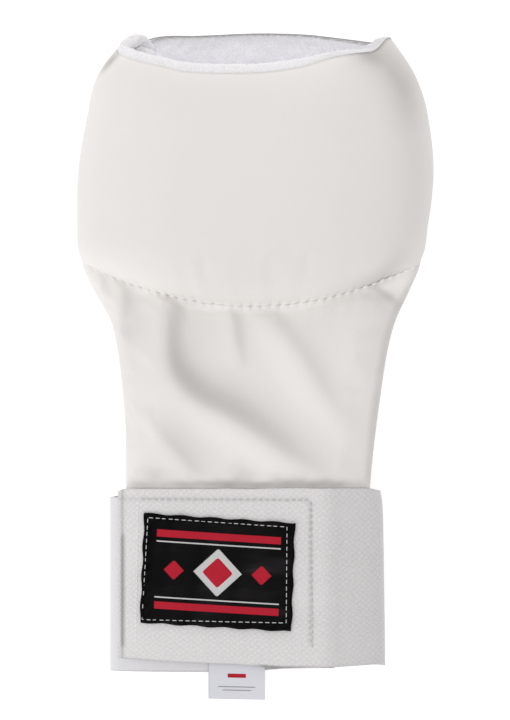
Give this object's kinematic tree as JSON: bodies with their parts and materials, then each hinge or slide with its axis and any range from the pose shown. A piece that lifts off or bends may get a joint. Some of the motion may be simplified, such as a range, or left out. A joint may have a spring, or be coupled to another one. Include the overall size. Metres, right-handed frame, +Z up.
{
  "type": "padded karate glove",
  "caption": "Open-fingered padded glove with a foam knuckle pad, a soft hand back, a terry-lined mouth and an elastic wrist strap.",
  "frame": {"origin": "on the surface that the glove lies on, below the middle of its outline", "axes": "+Y from wrist to fingers, +Z up through the back of the hand, +X to the wearer's right seen from above"},
  "size_m": [0.127, 0.2358, 0.0431],
  "materials": {
    "leathercloth": "white soft leathercloth, fine grain, low sheen",
    "terry": "white cotton towelling",
    "brushed_band": "white brushed loop tape",
    "elastic": "white woven elastic with fine diamonds",
    "hook_tape": "white hook tape",
    "label_cloth": null,
    "tag_satin": "white satin ribbon"
  },
  "bodies": {
    "root": {"knuckle_pad": "leathercloth", "mouth_roll": "terry", "hand_back": "leathercloth", "palm_side": "leathercloth", "palm_binding": "terry", "terry_lining": "terry", "smooth_band": "brushed_band", "elastic_strap": "elastic", "hook_patch": "hook_tape", "label_patch": "label_cloth", "size_tag": "tag_satin"}
  },
  "joints": []
}
